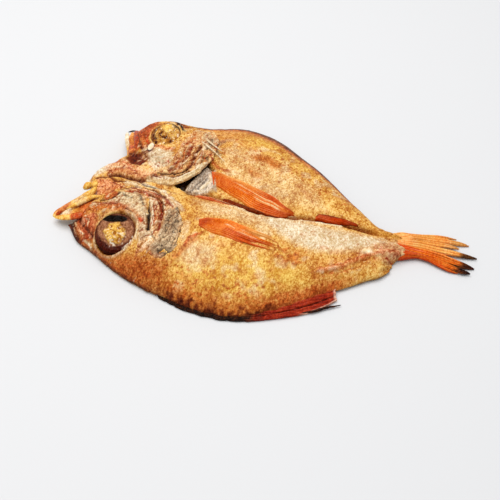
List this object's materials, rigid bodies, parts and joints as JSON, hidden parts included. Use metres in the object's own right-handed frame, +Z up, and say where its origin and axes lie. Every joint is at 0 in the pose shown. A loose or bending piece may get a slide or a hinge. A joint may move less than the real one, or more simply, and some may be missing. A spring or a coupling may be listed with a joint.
{
  "type": "butterflied smoked fish",
  "caption": "Smoked fish split along its back and opened flat, lying skin side up on its flesh side, with both halves of the head, the eyes, gill covers and fins in place.",
  "frame": {"origin": "middle of the footprint, on the surface that the fish lies on", "axes": "+X from the snouts to the tail, +Y to the fish's left side, +Z up from the flesh side to the skin side"},
  "size_m": [0.2283, 0.139, 0.0228],
  "materials": {
    "skin": "smoked skin, golden tan with brown and charred edges, satin",
    "gill_cover": "wrinkled pale skin over thin bone, satin",
    "fin": "dried orange-red fin rays, satin",
    "dark_fin": "dried dark red fin rays with charred tips",
    "jaw": "translucent amber bone and dried skin, glossy",
    "eye": "clouded golden lens in a dark brown ring, wet gloss"
  },
  "bodies": {
    "root": {"body": "skin", "right_eye": "eye", "left_eye": "eye", "right_gill_cover": "gill_cover", "left_gill_cover": "gill_cover", "right_upper_jaw": "jaw", "left_upper_jaw": "jaw", "right_pectoral_fin": "fin", "left_pectoral_fin": "fin", "right_pelvic_fin": "fin", "left_pelvic_fin": "fin", "anal_fin": "fin", "dorsal_fin": "dark_fin", "tail_fin": "fin"}
  },
  "joints": []
}
